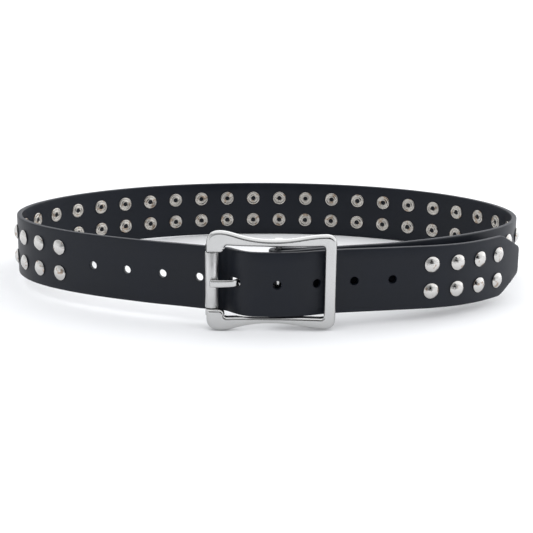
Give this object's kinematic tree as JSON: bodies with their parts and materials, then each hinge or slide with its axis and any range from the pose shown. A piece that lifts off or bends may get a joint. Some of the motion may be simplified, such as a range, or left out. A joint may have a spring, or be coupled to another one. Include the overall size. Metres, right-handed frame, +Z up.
{
  "type": "studded belt",
  "caption": "Fastened leather belt standing on edge as a loop, with rows of domed metal studs, a curved roller buckle, punched holes and a tip with cut corners.",
  "frame": {"origin": "centre of the bounding box's footprint, on the ground that the loop stands on", "axes": "+X along the loop's longer side, to the right as the buckle is seen; +Y from the buckle to the back of the loop; +Z up, across the strap's width"},
  "size_m": [0.3302, 0.2176, 0.059],
  "materials": {
    "leather": "smooth satin black",
    "nickel": "polished nickel"
  },
  "bodies": {
    "root": {"studded_strap": "leather", "buckle_frame": "nickel", "roller": "nickel", "prong": "nickel", "flap_rivet_lower": "nickel", "flap_rivet_upper": "nickel"}
  },
  "joints": []
}
